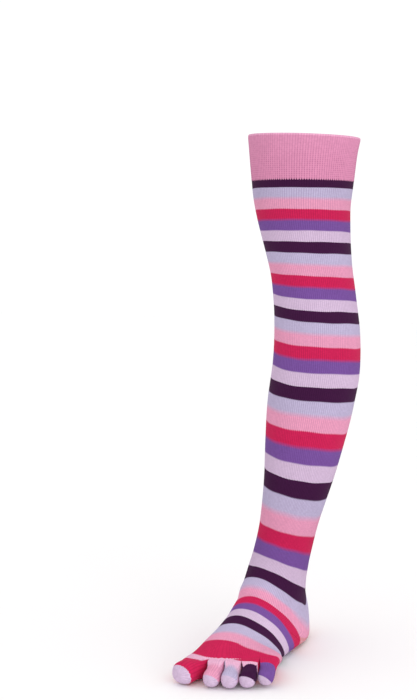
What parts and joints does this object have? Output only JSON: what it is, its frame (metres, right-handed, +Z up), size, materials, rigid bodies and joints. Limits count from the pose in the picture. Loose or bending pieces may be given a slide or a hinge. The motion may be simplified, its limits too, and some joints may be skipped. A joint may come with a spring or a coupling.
{
  "type": "over-the-knee toe sock",
  "caption": "Striped over-the-knee toe sock in its worn form, hollow, with a turned elastic cuff, a shaped heel pocket and separate toe pockets.",
  "frame": {"origin": "centre of the leg opening, in the middle of the cuff's rim", "axes": "+Z up along the leg out of the opening, -Y towards the toes, +X towards the little toe"},
  "size_m": [0.1452, 0.2912, 0.6174],
  "materials": {
    "cuff_knit": "double elastic knit, orchid pink",
    "leg_knit": "plain knit in repeating stripes of plum, blue, rose, crimson, violet and lilac",
    "heel_knit": "plain knit heel pocket, orchid pink",
    "foot_knit": "plain knit in repeating stripes that end in a wide crimson band",
    "big_toe_knit": "plain knit, crimson with a lilac tip",
    "second_toe_knit": "plain knit, rose with a lilac tip",
    "third_toe_knit": "plain knit, blue with a lilac tip",
    "fourth_toe_knit": "plain knit, plum with a lilac tip",
    "little_toe_knit": "plain knit, violet with a lilac tip"
  },
  "bodies": {
    "root": {"cuff": "cuff_knit", "knee": "leg_knit", "upper_calf": "leg_knit", "lower_calf": "leg_knit", "shin": "leg_knit", "ankle": "leg_knit", "heel": "heel_knit", "foot": "foot_knit", "forefoot": "foot_knit", "big_toe": "big_toe_knit", "second_toe": "second_toe_knit", "third_toe": "third_toe_knit", "fourth_toe": "fourth_toe_knit", "little_toe": "little_toe_knit"}
  },
  "joints": []
}
